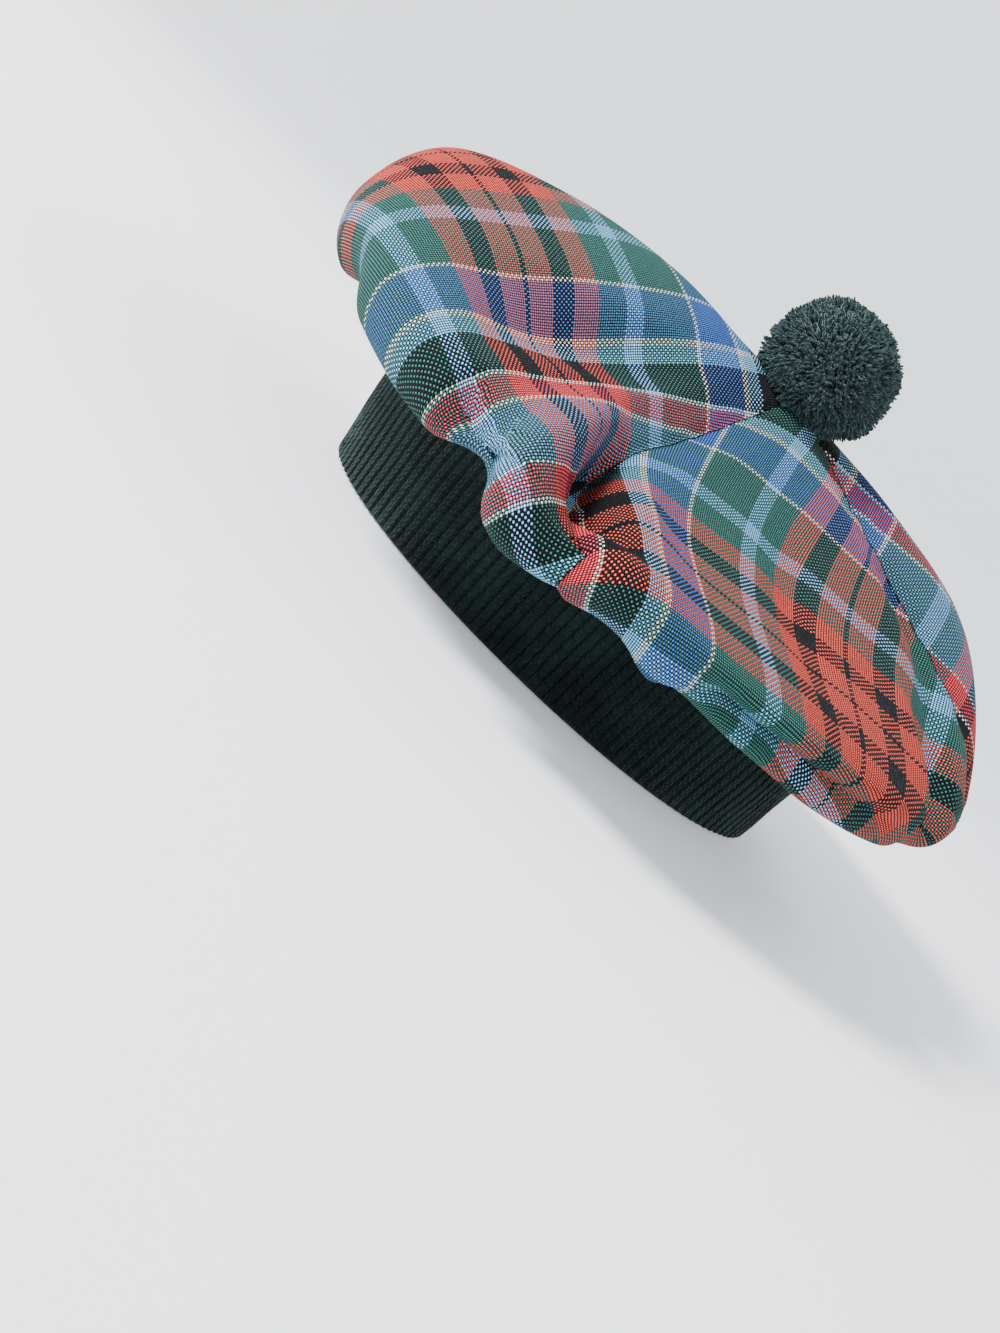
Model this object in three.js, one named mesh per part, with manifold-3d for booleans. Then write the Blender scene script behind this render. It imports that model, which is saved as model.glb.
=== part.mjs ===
// Tam o shanter: a wide tartan crown of four gores, gathered on a ribbed knit headband,
// with a yarn pompom (toorie) tied on at the middle of the crown.
// Millimetres, +Z up. The front is -Y and the wearer's left is +X. The pieces are drawn round
// the middle of the headband's rim. The finished hat stands on that rim at z = 0, with the
// middle of its outline over the origin.

import * as THREE from "three";
import { mergeVertices } from "three/addons/utils/BufferGeometryUtils.js";
import Module from "manifold-3d";

// Headband
const bandLength = 195;
const bandWidth = 160;
const bandHeight = 54;
const bandWall = 3.6;
const bandFlare = 3;
const foreheadFlare = 6;
const edgeRadius = 1.1;
const ribCount = 144;
const ribRelief = 0.9;

// Crown
const crownDiameter = 294;
const crownRise = 64;
const clothWall = 1.4;
const apexHole = 3;
const apexShift = 6;
const seamValley = 4;
const seamValleyWidth = 14;
const gatherDepth = 1.5;
const gathersPerGore = 5;

// Toorie
const toorieDiameter = 46;
const toorieSink = 9.5;
const lockCount = 44;
const lockLength = 2.6;
const lockRootWidth = 9;
const lockTipWidth = 4.5;
const tieDiameter = 4;
const tieLength = 10;

// Gap that two pieces keep where they touch
const clearance = 0.3;

// Faces of the surfaces
const goreColumns = 20;
const goreRows = 18;
const crownTopColumns = 24;
const crownTopRings = 6;
const coreDetail = 2;
const lockSides = 5;
const tieSides = 8;

const degrees = Math.PI / 180;

// The crown's outline is counted in knots, from the headband's top to the apex. As shares of that
// count: the rim, the end of the seams' swing, the middle and half span of the valley that the
// seams lie in, and the place where the gathers are deepest.
const knotCount = 8;
const rimShare = 0.375;
const swingEndShare = 0.7;
const valleyShare = 0.69;
const valleySpanShare = 0.3;
const gatherShare = 0.11;

// Radii of the outline's knots as shares of the crown's reach, the tuck's between the headband
// and the reach, and the tuck's height as shares of the keel's height and of the crown's rise
const tuckShare = 0.3;
const keelShare = 0.94;
const highShare = 0.66;
const midShare = 0.38;
const crestShare = 0.15;
const tuckKeelShare = 0.4;
const tuckRiseShare = 0.07;

// The apex's shift to the rear fades out at this share of the crown's radius
const shiftShare = 0.9;

// The crown's outline at each azimuth. Reach is a share of the crown's radius, and browReach
// a share of that reach. The heights are shares of the crown's rise, measured from the top of
// the headband: keel is the lowest edge, rim the widest point, brow the upper corner, and high,
// mid and crest lie on the way from there to the apex.
const outlineColumns = ["azimuth", "reach", "keel", "rim", "browReach", "brow", "high", "mid", "crest"];
const outlineRows = [
  [-90, 1.0, -0.07, 0.26, 0.93, 0.69, 0.94, 1.04, 1.03],
  [-60, 0.99, -0.08, 0.17, 0.91, 0.45, 0.69, 0.88, 0.97],
  [-30, 1.0, -0.2, 0.0, 0.92, 0.18, 0.38, 0.64, 0.88],
  [0, 1.01, -0.24, -0.09, 0.93, 0.05, 0.22, 0.5, 0.83],
  [30, 1.0, -0.25, -0.09, 0.93, 0.06, 0.26, 0.54, 0.85],
  [60, 0.97, -0.2, -0.05, 0.92, 0.19, 0.43, 0.68, 0.9],
  [90, 0.95, -0.06, 0.13, 0.84, 0.56, 0.8, 0.92, 0.97],
  [120, 0.96, -0.06, 0.13, 0.84, 0.46, 0.74, 0.9, 0.98],
  [150, 1.0, -0.14, 0.05, 0.88, 0.26, 0.52, 0.76, 0.94],
  [180, 1.01, -0.18, 0.01, 0.9, 0.18, 0.4, 0.68, 0.92],
  [210, 1.0, -0.15, 0.1, 0.92, 0.36, 0.62, 0.86, 0.98],
  [240, 1.0, -0.09, 0.22, 0.93, 0.61, 0.86, 1.01, 1.03],
];

// The four seams, at their azimuth near the apex, and how far each swings from there to the
// headband
const seamColumns = ["azimuth", "swing"];
const seamRows = [
  [-14, 11],
  [76, 0],
  [166, 4],
  [256, 0],
];

// Folds of the slack cloth. Each is a groove, or a swell where its depth is negative, centred on
// an azimuth and leaning by so many degrees from its low to its high end. Its half width is in
// degrees and its depth is a share of the crown's radius. The ends are places on the outline.
const foldColumns = ["azimuth", "lean", "halfWidth", "depth", "low", "high"];
const foldRows = [
  [-20, -4, 6.5, 0.075, 1.2, 4.6],
  [-6, -9, 7.5, 0.08, 1.4, 5.4],
  [-17, -8, 8, -0.03, 3.2, 5.6],
  [4, 0, 6.5, 0.04, 1.0, 3.4],
  [31, 0, 30, 0.045, 2.3, 3.6],
  [61, 4, 7.5, 0.08, 1.8, 5.4],
  [-38, 6, 14, 0.04, 4.0, 6.6],
  [-54, 0, 9, 0.03, 1.0, 3.4],
  [98, -3, 8, 0.06, 1.4, 4.6],
  [128, 4, 9, 0.07, 1.2, 4.8],
  [156, 0, 8, 0.05, 1.2, 4.2],
  [178, -5, 9, 0.08, 1.4, 5.2],
  [203, 3, 8.5, 0.05, 1.2, 4.4],
  [228, 0, 11, 0.06, 1.6, 5.0],
  [252, 4, 8.5, 0.04, 1.2, 4.0],
];

function readTable(columns, rows) {
  return rows.map((row) => Object.fromEntries(columns.map((name, index) => [name, row[index]])));
}

const outline = readTable(outlineColumns, outlineRows);
const seams = readTable(seamColumns, seamRows);
const folds = readTable(foldColumns, foldRows);

// A smooth curve through evenly spaced values, between the second and the third of four
function smoothBetween(before, start, end, after, share) {
  const slope = end - before;
  const bend = 2 * before - 5 * start + 4 * end - after;
  const twist = 3 * start - before - 3 * end + after;
  return start + 0.5 * share * (slope + share * (bend + share * twist));
}

// One column of the outline table, smoothed round the crown
function outlineAt(column, azimuth) {
  const count = outline.length;
  const turn = (azimuth - outline[0].azimuth) / 360;
  const place = (turn - Math.floor(turn)) * count;
  const index = Math.floor(place);
  const value = (offset) => outline[(index + offset + count) % count][column];
  return smoothBetween(value(-1), value(0), value(1), value(2), place - index);
}

// The headband's outer radius between its ribs: an oval rim that flares towards the top
function bandRadius(azimuth, height) {
  const across = Math.cos(azimuth * degrees) / (bandWidth / 2);
  const along = Math.sin(azimuth * degrees) / (bandLength / 2);
  const frontward = Math.max(0, -Math.sin(azimuth * degrees));
  const flare = bandFlare + foreheadFlare * frontward * frontward;
  return 1 / Math.hypot(across, along) + flare * height / bandHeight;
}

// The outline's knots at an azimuth: radius, and height above the headband's top
function outlineKnots(azimuth) {
  const reach = crownDiameter / 2 * outlineAt("reach", azimuth);
  const joint = bandRadius(azimuth, bandHeight) - bandWall / 2;
  const height = (column) => crownRise * outlineAt(column, azimuth);
  return [
    [joint, clearance],
    [joint + tuckShare * (reach - joint), tuckKeelShare * height("keel") + tuckRiseShare * crownRise],
    [keelShare * reach, height("keel")],
    [reach, height("rim")],
    [outlineAt("browReach", azimuth) * reach, height("brow")],
    [highShare * reach, height("high")],
    [midShare * reach, height("mid")],
    [crestShare * reach, height("crest")],
    [apexHole, crownRise],
  ];
}

// A point of the outline at an azimuth and a place on it, before any folding
function outlinePoint(azimuth, place) {
  const knots = outlineKnots(azimuth);
  const index = Math.min(knotCount - 1, Math.max(0, Math.floor(place)));
  const start = knots[0];
  const below = [start[0], start[1] - tuckRiseShare * crownRise];
  const beyond = [-knots[knotCount - 1][0], knots[knotCount - 1][1]];
  const around = [knots[index - 1] ?? below, knots[index], knots[index + 1], knots[index + 2] ?? beyond];
  return [0, 1].map((axis) => smoothBetween(...around.map((knot) => knot[axis]), place - index));
}

function smoothBump(value) {
  return Math.abs(value) < 1 ? (1 - value * value) ** 2 : 0;
}

function wrapDegrees(angle) {
  return angle - 360 * Math.round(angle / 360);
}

// The azimuth of a seam at a place on the outline, counting on past a full turn
function seamAzimuth(index, place) {
  const seam = seams[index % seams.length];
  const swung = (swingEndShare - place / knotCount) / (swingEndShare - rimShare);
  const share = Math.min(1, Math.max(0, swung));
  const turns = Math.floor(index / seams.length);
  return seam.azimuth + seam.swing * share * share * (3 - 2 * share) + 360 * turns;
}

// How far the folds, the seams and the gathers push the cloth inwards
function inwardPush(azimuth, place, radius) {
  let push = 0;
  for (const fold of folds) {
    const along = (place - fold.low) / (fold.high - fold.low);
    const centre = fold.azimuth + fold.lean * (along - 0.5);
    const across = wrapDegrees(azimuth - centre) / fold.halfWidth;
    push += fold.depth * crownDiameter / 2 * smoothBump(across) * smoothBump(2 * along - 1);
  }
  const valley = seamValley * smoothBump((place / knotCount - valleyShare) / valleySpanShare);
  seams.forEach((seam, index) => {
    const distance = wrapDegrees(azimuth - seamAzimuth(index, place)) * degrees * radius;
    push += valley * smoothBump(distance / seamValleyWidth);
  });
  const gatherTurn = (azimuth - seams[0].azimuth) / 360 * gathersPerGore * seams.length;
  const gather = gatherDepth * smoothBump(place / knotCount / gatherShare - 1);
  return push + gather * Math.cos(2 * Math.PI * gatherTurn);
}

// The crown's outer surface
function crownPoint(azimuth, place) {
  const step = 0.01;
  const [radius, height] = outlinePoint(azimuth, place);
  const [radiusBefore, heightBefore] = outlinePoint(azimuth, Math.max(0, place - step));
  const [radiusAfter, heightAfter] = outlinePoint(azimuth, Math.min(knotCount, place + step));
  const length = Math.hypot(radiusAfter - radiusBefore, heightAfter - heightBefore);
  const push = inwardPush(azimuth, place, radius) / length;
  const folded = radius - push * (heightAfter - heightBefore);
  const raised = height + push * (radiusAfter - radiusBefore);
  const shift = apexShift * (1 - Math.min(1, folded / (shiftShare * crownDiameter / 2))) ** 2;
  return new THREE.Vector3(
    folded * Math.cos(azimuth * degrees),
    folded * Math.sin(azimuth * degrees) + shift,
    bandHeight + raised,
  );
}

function crownNormal(azimuth, place) {
  const step = 0.02;
  const along = crownPoint(azimuth, Math.min(knotCount, place + step))
    .sub(crownPoint(azimuth, Math.max(0, place - step)));
  const across = crownPoint(azimuth + 20 * step, place).sub(crownPoint(azimuth - 20 * step, place));
  return across.cross(along).normalize();
}

// A closed shell between two grids of points, faces pointing out of the cloth
function closedShell(outer, inner) {
  const rows = outer.length;
  const columns = outer[0].length;
  const positions = [...outer.flat(), ...inner.flat()].flatMap((point) => point.toArray());
  const outside = (row, column) => row * columns + column;
  const inside = (row, column) => rows * columns + row * columns + column;
  const faces = [];
  const addQuad = (a, b, c, d) => faces.push(a, b, c, a, c, d);
  for (let row = 0; row < rows - 1; row += 1) {
    for (let column = 0; column < columns - 1; column += 1) {
      addQuad(outside(row, column), outside(row, column + 1),
        outside(row + 1, column + 1), outside(row + 1, column));
      addQuad(inside(row, column), inside(row + 1, column),
        inside(row + 1, column + 1), inside(row, column + 1));
    }
    addQuad(outside(row, 0), outside(row + 1, 0), inside(row + 1, 0), inside(row, 0));
    addQuad(outside(row, columns - 1), inside(row, columns - 1),
      inside(row + 1, columns - 1), outside(row + 1, columns - 1));
  }
  for (let column = 0; column < columns - 1; column += 1) {
    addQuad(outside(0, column), inside(0, column), inside(0, column + 1), outside(0, column + 1));
    addQuad(outside(rows - 1, column), outside(rows - 1, column + 1),
      inside(rows - 1, column + 1), inside(rows - 1, column));
  }
  const geometry = new THREE.BufferGeometry();
  geometry.setAttribute("position", new THREE.Float32BufferAttribute(positions, 3));
  geometry.setIndex(faces);
  return geometry;
}

// One gore of the crown, from seam to seam and from the headband to the apex
function makeGore(index) {
  const outer = [];
  const inner = [];
  for (let row = 0; row <= goreRows; row += 1) {
    const place = knotCount * row / goreRows;
    const start = seamAzimuth(index, place);
    const end = seamAzimuth(index + 1, place);
    const outerRow = [];
    const innerRow = [];
    for (let column = 0; column <= goreColumns; column += 1) {
      const wide = start + (end - start) * column / goreColumns;
      const [radius] = outlinePoint(wide, place);
      const margin = clearance / 2 / radius / degrees;
      const azimuth = Math.min(end - margin, Math.max(start + margin, wide));
      const point = crownPoint(azimuth, place);
      outerRow.push(point);
      innerRow.push(point.clone().addScaledVector(crownNormal(azimuth, place), -clothWall));
    }
    outer.push(outerRow);
    inner.push(innerRow);
  }
  return closedShell(outer, inner);
}

// The headband: a double-knit ring with a flat rim, ribbed outside
function makeHeadband() {
  const half = bandWall / 2;
  const section = [
    { out: half - edgeRadius, up: 0, ribbed: 0 },
    { out: half, up: edgeRadius, ribbed: 1 },
    { out: half, up: bandHeight, ribbed: 1 },
    { out: -half, up: bandHeight, ribbed: 0 },
    { out: -half, up: edgeRadius, ribbed: 0 },
    { out: -half + edgeRadius, up: 0, ribbed: 0 },
  ];
  const columns = ribCount * 2;
  const positions = [];
  const faces = [];
  for (let column = 0; column < columns; column += 1) {
    const azimuth = 360 * column / columns;
    const valley = column % 2 === 0 ? 0 : ribRelief;
    for (const corner of section) {
      const middle = bandRadius(azimuth, corner.up) - half;
      const radius = middle + corner.out - corner.ribbed * valley;
      positions.push(radius * Math.cos(azimuth * degrees), radius * Math.sin(azimuth * degrees), corner.up);
    }
    for (let side = 0; side < section.length; side += 1) {
      const nextSide = (side + 1) % section.length;
      const here = column * section.length;
      const there = ((column + 1) % columns) * section.length;
      faces.push(here + side, there + side, there + nextSide);
      faces.push(here + side, there + nextSide, here + nextSide);
    }
  }
  const geometry = new THREE.BufferGeometry();
  geometry.setAttribute("position", new THREE.Float32BufferAttribute(positions, 3));
  geometry.setIndex(faces);
  return geometry;
}

const wasm = await Module();
wasm.setup();

function toSolid(geometry) {
  const bare = geometry.clone();
  bare.deleteAttribute("normal");
  bare.deleteAttribute("uv");
  const merged = mergeVertices(bare, 1e-4);
  return new wasm.Manifold(new wasm.Mesh({
    numProp: 3,
    vertProperties: new Float32Array(merged.attributes.position.array),
    triVerts: new Uint32Array(merged.index.array),
  }));
}

function toGeometry(solid) {
  const mesh = solid.getMesh();
  const geometry = new THREE.BufferGeometry();
  geometry.setAttribute("position", new THREE.Float32BufferAttribute(mesh.vertProperties, 3));
  geometry.setIndex(Array.from(mesh.triVerts));
  return geometry;
}

// The space that the middle of the crown takes up, with the clearance above it
function makeCrownTop() {
  const reach = toorieDiameter / 2 + lockLength;
  const rings = crownTopRings;
  const columns = crownTopColumns;
  const placeStep = 0.05;
  const positions = [0, apexShift, bandHeight + crownRise + clearance, 0, apexShift, bandHeight];
  const faces = [];
  for (let ring = 1; ring <= rings + 1; ring += 1) {
    const isFoot = ring > rings;
    const wanted = isFoot ? reach : apexHole + (reach - apexHole) * (ring - 1) / (rings - 1);
    for (let column = 0; column < columns; column += 1) {
      const azimuth = 360 * column / columns;
      let place = knotCount;
      while (outlinePoint(azimuth, place)[0] < wanted) {
        place -= placeStep;
      }
      const point = crownPoint(azimuth, place);
      const next = ring * columns + column - columns + 2;
      const beside = ring * columns + (column + 1) % columns - columns + 2;
      positions.push(point.x, point.y, isFoot ? bandHeight : point.z + clearance);
      if (ring === 1) {
        faces.push(0, next, beside);
      } else {
        faces.push(next - columns, next, beside, next - columns, beside, beside - columns);
      }
      if (isFoot) {
        faces.push(1, beside, next);
      }
    }
  }
  const geometry = new THREE.BufferGeometry();
  geometry.setAttribute("position", new THREE.Float32BufferAttribute(positions, 3));
  geometry.setIndex(faces);
  return geometry;
}

// The toorie: a ball of yarn with tufts all round, pressed down on the middle of the crown,
// and the tie that goes through the apex
function makeToorie() {
  const coreRadius = toorieDiameter / 2 - lockLength;
  const middle = new THREE.Vector3(
    0,
    apexShift,
    bandHeight + crownRise + toorieDiameter / 2 - toorieSink,
  );
  const core = new THREE.IcosahedronGeometry(coreRadius, coreDetail);
  core.translate(middle.x, middle.y, middle.z);
  let solid = toSolid(core);
  const upright = new THREE.Vector3(0, 1, 0);
  for (let index = 0; index < lockCount; index += 1) {
    const height = 1 - (2 * index + 1) / lockCount;
    const turn = index * Math.PI * (3 - Math.sqrt(5));
    const level = Math.sqrt(1 - height * height);
    const direction = new THREE.Vector3(level * Math.cos(turn), level * Math.sin(turn), height);
    const lock = new THREE.CylinderGeometry(lockTipWidth / 2, lockRootWidth / 2, 2 * lockLength, lockSides);
    lock.applyQuaternion(new THREE.Quaternion().setFromUnitVectors(upright, direction));
    const centre = direction.clone().multiplyScalar(coreRadius).add(middle);
    lock.translate(centre.x, centre.y, centre.z);
    solid = solid.add(toSolid(lock));
  }
  solid = solid.subtract(toSolid(makeCrownTop()));
  const tie = new THREE.CylinderGeometry(tieDiameter / 2, tieDiameter / 2, tieLength, tieSides);
  tie.rotateX(Math.PI / 2);
  tie.translate(0, apexShift, bandHeight + crownRise);
  return toGeometry(solid.add(toSolid(tie)));
}

function cloth(color) {
  return new THREE.MeshStandardMaterial({ color, roughness: 0.9, metalness: 0 });
}

function makePiece(name, geometry, material) {
  const piece = new THREE.Mesh(geometry, material);
  piece.name = name;
  return piece;
}

const knitGreen = cloth(0x17332c);
const tartan = cloth(0x5a7f86);

const hat = new THREE.Group();
hat.add(makePiece("headband", makeHeadband(), knitGreen));

const goreNames = ["crown_rear_left", "crown_rear_right", "crown_front_right", "crown_front_left"];
goreNames.forEach((name, index) => {
  hat.add(makePiece(name, makeGore(index), tartan));
});

hat.add(makePiece("toorie", makeToorie(), knitGreen));

const outlineBox = new THREE.Box3().setFromObject(hat);
const middle = outlineBox.getCenter(new THREE.Vector3());
hat.position.set(-middle.x, -middle.y, -outlineBox.min.z);

export default hat;
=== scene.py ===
import math

import bpy
import numpy as np
from mathutils import Matrix, Vector


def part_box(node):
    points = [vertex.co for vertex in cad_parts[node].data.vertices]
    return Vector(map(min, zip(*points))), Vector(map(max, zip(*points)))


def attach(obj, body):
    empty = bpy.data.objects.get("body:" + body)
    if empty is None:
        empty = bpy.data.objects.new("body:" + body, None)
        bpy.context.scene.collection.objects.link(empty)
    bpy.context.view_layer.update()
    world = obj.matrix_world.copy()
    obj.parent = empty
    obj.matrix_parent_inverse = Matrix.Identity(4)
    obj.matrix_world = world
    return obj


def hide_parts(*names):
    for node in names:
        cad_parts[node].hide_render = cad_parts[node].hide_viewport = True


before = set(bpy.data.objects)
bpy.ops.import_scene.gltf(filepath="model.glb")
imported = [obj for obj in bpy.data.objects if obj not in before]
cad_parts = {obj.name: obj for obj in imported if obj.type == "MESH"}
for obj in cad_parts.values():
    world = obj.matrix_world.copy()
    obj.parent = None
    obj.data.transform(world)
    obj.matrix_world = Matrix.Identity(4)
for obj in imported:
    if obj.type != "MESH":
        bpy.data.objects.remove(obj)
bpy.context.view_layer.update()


# The view: from the wearer's left and a little above, with the picture turned so that the crown
# leans down to the right. The camera stands half a metre off, above the floor. It and every piece
# are placed from the middle of the headband's rim.

rim_low, rim_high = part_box("headband")
band_back_reach = 0.1005
rim_middle = Vector(((rim_low.x + rim_high.x) / 2, rim_high.y - band_back_reach, 0))
view_lens = 39.16
view_place = rim_middle + Vector((0.5018, -0.0035, 0.0928))
view_pitch = math.radians(12.5)
view_roll = math.radians(44.4)

view_right = Vector((0, 1, 0))
view_up = Vector((-math.sin(view_pitch), 0, math.cos(view_pitch)))
view_back = Vector((math.cos(view_pitch), 0, math.sin(view_pitch)))
picture_right = view_right * math.cos(view_roll) + view_up * math.sin(view_roll)
picture_up = view_up * math.cos(view_roll) - view_right * math.sin(view_roll)
turn = Matrix((picture_right, picture_up, view_back)).transposed().to_4x4()

camera = bpy.data.objects.new("camera", bpy.data.cameras.new("camera"))
camera.data.lens = view_lens
camera.data.clip_start = 0.01
camera.data.clip_end = 50
camera.matrix_world = Matrix.Translation(view_place) @ turn
bpy.context.collection.objects.link(camera)
bpy.context.scene.camera = camera


# The floor and the light: a pale seamless floor that curves up all round, a large soft lamp above
# the front of the hat, and weaker ones beside the camera and behind.

floor_profile = [(0.0, 0.0), (1.3, 0.0), (1.7, 0.05), (2.1, 0.25), (2.4, 0.65), (2.5, 1.2), (2.5, 2.6)]
floor_sides = 96
floor_drop = 0.0002


def link_mesh(name, points, faces, smooth=True):
    """A mesh object from points in metres and faces that point outwards."""
    mesh = bpy.data.meshes.new(name)
    mesh.from_pydata([tuple(map(float, point)) for point in points], [], faces)
    mesh.polygons.foreach_set("use_smooth", [smooth] * len(mesh.polygons))
    mesh.update()
    obj = bpy.data.objects.new(name, mesh)
    bpy.context.collection.objects.link(obj)
    return obj


def add_node(tree, kind, inputs=None, **settings):
    """A node with its settings made and each input set to a value or joined to a socket."""
    node = tree.nodes.new(kind)
    for name, value in settings.items():
        setattr(node, name, value)
    for name, value in (inputs or {}).items():
        if isinstance(value, bpy.types.NodeSocket):
            tree.links.new(value, node.inputs[name])
        else:
            node.inputs[name].default_value = value
    return node


def new_material(name, **values):
    """A material with one shader, and the values that are the same all over its surface."""
    material = bpy.data.materials.new(name)
    material.use_nodes = True
    tree = material.node_tree
    shader = tree.nodes["Principled BSDF"]
    for socket, value in values.items():
        shader.inputs[socket.replace("_", " ")].default_value = value
    return material, tree, shader


def colour(red, green, blue):
    """A linear colour from the red, green and blue of a colour card, each 0 to 255."""
    shares = [value / 255 for value in (red, green, blue)]
    linear = [s / 12.92 if s <= 0.04045 else ((s + 0.055) / 1.055) ** 2.4 for s in shares]
    return (*linear, 1.0)


floor_points = [(0.0, 0.0, -floor_drop)]
floor_faces = []
for ring, (radius, height) in enumerate(floor_profile[1:]):
    for side in range(floor_sides):
        angle = 2 * math.pi * side / floor_sides
        floor_points.append((radius * math.cos(angle), radius * math.sin(angle), height - floor_drop))
        here = 1 + ring * floor_sides + side
        beside = 1 + ring * floor_sides + (side + 1) % floor_sides
        if ring == 0:
            floor_faces.append((0, here, beside))
        else:
            floor_faces.append((here - floor_sides, here, beside, beside - floor_sides))
floor = link_mesh("floor", floor_points, floor_faces)
floor_paint = new_material(
    "floor_paint", Base_Color=colour(252, 253, 255), Roughness=0.85,
    Emission_Color=colour(240, 246, 255), Emission_Strength=0.22,
)[0]
floor.data.materials.append(floor_paint)

world = bpy.data.worlds.new("soft_room")
world.use_nodes = True
world.node_tree.nodes["Background"].inputs["Color"].default_value = (0.95, 0.97, 1.0, 1.0)
world.node_tree.nodes["Background"].inputs["Strength"].default_value = 0.32
bpy.context.scene.world = world

lamp_table = [
    ("lamp_above_front", (0.55, -1.25, 1.1), 0.5, 72.0),
    ("lamp_beside_camera", (1.4, 0.5, 0.8), 0.8, 5.0),
    ("lamp_behind", (-0.9, 0.6, 1.2), 0.8, 8.0),
]
for lamp_name, lamp_place, lamp_size, lamp_power in lamp_table:
    lamp = bpy.data.objects.new(lamp_name, bpy.data.lights.new(lamp_name, "AREA"))
    lamp.data.shape = "DISK"
    lamp.data.size = lamp_size
    lamp.data.energy = lamp_power
    toward_hat = Vector((0, 0, 0.08)) - Vector(lamp_place)
    lamp.rotation_euler = toward_hat.to_track_quat("-Z", "Y").to_euler()
    lamp.location = lamp_place
    bpy.context.collection.objects.link(lamp)


# The headband: a deep tube of dark bottle green wool, machine knitted in single rib. It stretches
# round the head. Its sides are columns of knit stitches, with the purl stitches sunk between them.

band_length = 195.0
band_width = 160.0
band_height = 54.0
band_wall = 3.6
band_flare = 3.0
forehead_flare = 6.0
rib_count = 144
rim_round = 1.1
stitch_rows = 24
stitch_foot = 0.95
stitch_width = 2.5
yarn_thickness = 1.25
rib_groove = 1.8
rib_crest = 1.65
rib_fullness = 0.6
inner_rib_dip = 0.45
knit_slack = 0.35
knit_slack_span = 38
band_columns = 4 * rib_count
band_side_rows = 18


def band_radius(azimuth, height):
    """The headband's outer radius in mm at an azimuth in degrees and a height in mm."""
    angle = np.radians(azimuth)
    oval = 1 / np.hypot(np.cos(angle) / (band_width / 2), np.sin(angle) / (band_length / 2))
    frontward = np.maximum(0, -np.sin(angle))
    return oval + (band_flare + forehead_flare * frontward**2) * height / band_height


def on_band(azimuth, height, inset):
    """Points in metres on the band, so many mm inside its outer radius."""
    radius = band_radius(azimuth, height) - inset
    angle = np.radians(azimuth)
    points = np.stack([radius * np.cos(angle), radius * np.sin(angle), height + 0 * radius], axis=-1)
    return points / 1000 + np.array(rim_middle)


def uneven(first, second, scale, seed):
    """Soft unevenness from -1 to 1 over two coordinates, with a rough wavelength of scale."""
    dice = np.random.default_rng(seed)
    total = 0.0
    for _ in range(7):
        heading = dice.uniform(0, 2 * math.pi)
        wave = 2 * math.pi / (scale * dice.uniform(0.6, 1.6))
        phase = dice.uniform(0, 2 * math.pi)
        total = total + np.sin(wave * (first * math.cos(heading) + second * math.sin(heading)) + phase)
    return total / 4


def band_slack(azimuth, height):
    """How far the slack knit stands out, in mm, with none at the rim."""
    return knit_slack * uneven(azimuth * 1.5, height, knit_slack_span, 5) * min(1, height / 12)


band_section = []
for row in range(band_side_rows + 1):
    band_section.append((rib_groove, rim_round + (band_height - rim_round) * row / band_side_rows, 1))
for row in range(band_side_rows, -1, -1):
    band_section.append((band_wall, rim_round + (band_height - rim_round) * row / band_side_rows, -1))
band_section.append((band_wall - rim_round * 0.3, rim_round * 0.3, 0))
band_section.append((band_wall - rim_round, 0.0, 0))
band_section.append((rib_groove + rim_round * 0.6, 0.0, 0))
band_section.append((rib_groove + rim_round * 0.15, rim_round * 0.35, 0))

band_azimuths = np.arange(band_columns) * 360 / band_columns
band_phase = np.cos(np.radians(band_azimuths) * rib_count)
band_rings = []
for inset, height, ribbed in band_section:
    rise = (0.5 + 0.5 * band_phase) ** rib_fullness * rib_crest if ribbed > 0 else 0.0
    dip = (0.5 - 0.5 * band_phase) * inner_rib_dip if ribbed < 0 else 0.0
    slack = band_slack(band_azimuths, height)
    band_rings.append(on_band(band_azimuths, height, inset - rise - dip - slack))
band_points = np.concatenate(band_rings)
band_faces = []
section_size = len(band_section)
for ring in range(section_size):
    following = (ring + 1) % section_size
    for column in range(band_columns):
        beside = (column + 1) % band_columns
        band_faces.append((
            ring * band_columns + column,
            ring * band_columns + beside,
            following * band_columns + beside,
            following * band_columns + column,
        ))
band = link_mesh("headband_knit", band_points, band_faces)


def mix_colours(tree, share, first, second):
    """A colour between two others, by the mix node's sockets for colours."""
    return add_node(
        tree, "ShaderNodeMix", {0: share, 6: first, 7: second}, data_type="RGBA"
    ).outputs[2]


knit_dark = colour(5, 13, 13)
knit_light = colour(18, 35, 33)
knit_material, knit_tree, knit_shader = new_material(
    "green_wool_knit", Roughness=0.9, Specular_IOR_Level=0.2, Sheen_Weight=0.12, Sheen_Roughness=0.5,
    Sheen_Tint=(0.55, 0.75, 0.68, 1.0),
)
knit_place = add_node(knit_tree, "ShaderNodeTexCoord").outputs["Object"]
knit_fibres = add_node(
    knit_tree, "ShaderNodeTexNoise",
    {"Vector": knit_place, "Scale": 1400.0, "Detail": 3.0, "Roughness": 0.65},
).outputs["Fac"]
knit_wear = add_node(
    knit_tree, "ShaderNodeTexNoise", {"Vector": knit_place, "Scale": 60.0, "Detail": 2.0}
).outputs["Fac"]
knit_blend = add_node(
    knit_tree, "ShaderNodeMath", {0: knit_fibres, 1: knit_wear}, operation="MULTIPLY"
).outputs[0]
knit_spread = add_node(
    knit_tree, "ShaderNodeMapRange", {"Value": knit_blend, "From Min": 0.14, "From Max": 0.38}
).outputs[0]
knit_tone = mix_colours(knit_tree, knit_spread, knit_dark, knit_light)
knit_tree.links.new(knit_tone, knit_shader.inputs["Base Color"])
knit_bump = add_node(
    knit_tree, "ShaderNodeBump", {"Height": knit_fibres, "Strength": 0.6, "Distance": 0.0006}
)
knit_tree.links.new(knit_bump.outputs["Normal"], knit_shader.inputs["Normal"])
band.data.materials.append(knit_material)


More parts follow.
